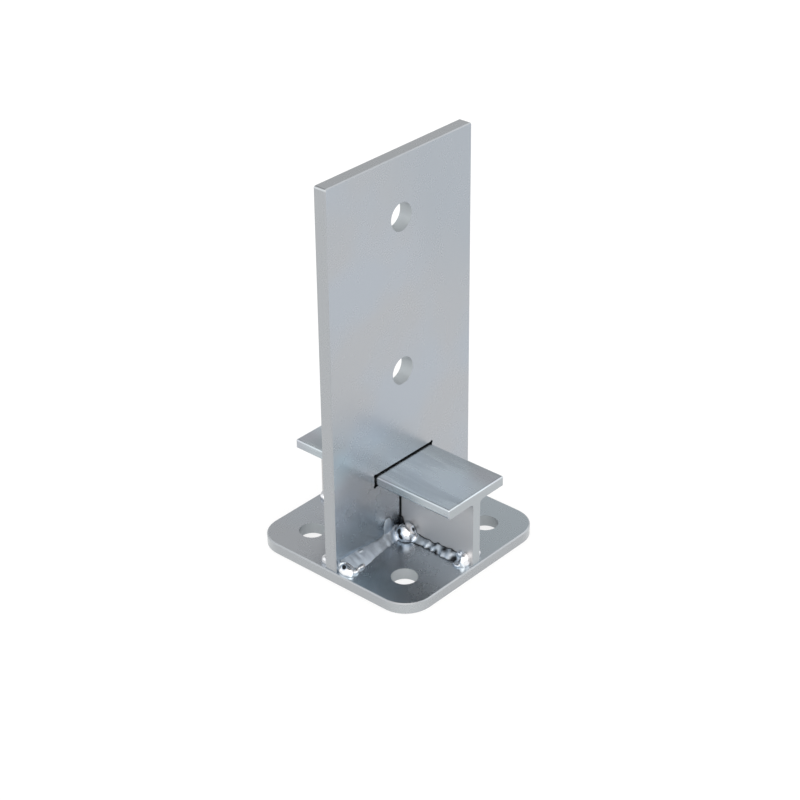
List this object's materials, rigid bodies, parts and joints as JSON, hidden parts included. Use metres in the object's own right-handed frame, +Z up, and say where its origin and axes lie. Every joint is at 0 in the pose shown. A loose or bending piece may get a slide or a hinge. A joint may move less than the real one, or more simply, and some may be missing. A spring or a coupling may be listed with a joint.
{
  "type": "timber post base",
  "caption": "Welded steel base that holds a timber post clear of concrete: square anchor plate, upright blade for the post's saw cut, and a short tee bar as its seat.",
  "frame": {"origin": "centre of the base plate's underside", "axes": "+Z up, X along the blade's width, Y along the tee bar; the side at -Y is called the front"},
  "size_m": [0.1, 0.1, 0.204],
  "materials": {
    "galvanised_plate": "dull zinc-coated plate with faint mottling",
    "galvanised_tee": "zinc-coated rolled tee bar with streaks along its length",
    "weld_metal": "bright, lumpy zinc-coated weld beads"
  },
  "bodies": {
    "root": {"base_plate": "galvanised_plate", "blade_plate": "galvanised_plate", "tee_bar": "galvanised_tee", "weld_front_left": "weld_metal", "weld_front_right": "weld_metal", "weld_rear_left": "weld_metal", "weld_rear_right": "weld_metal"}
  },
  "joints": []
}
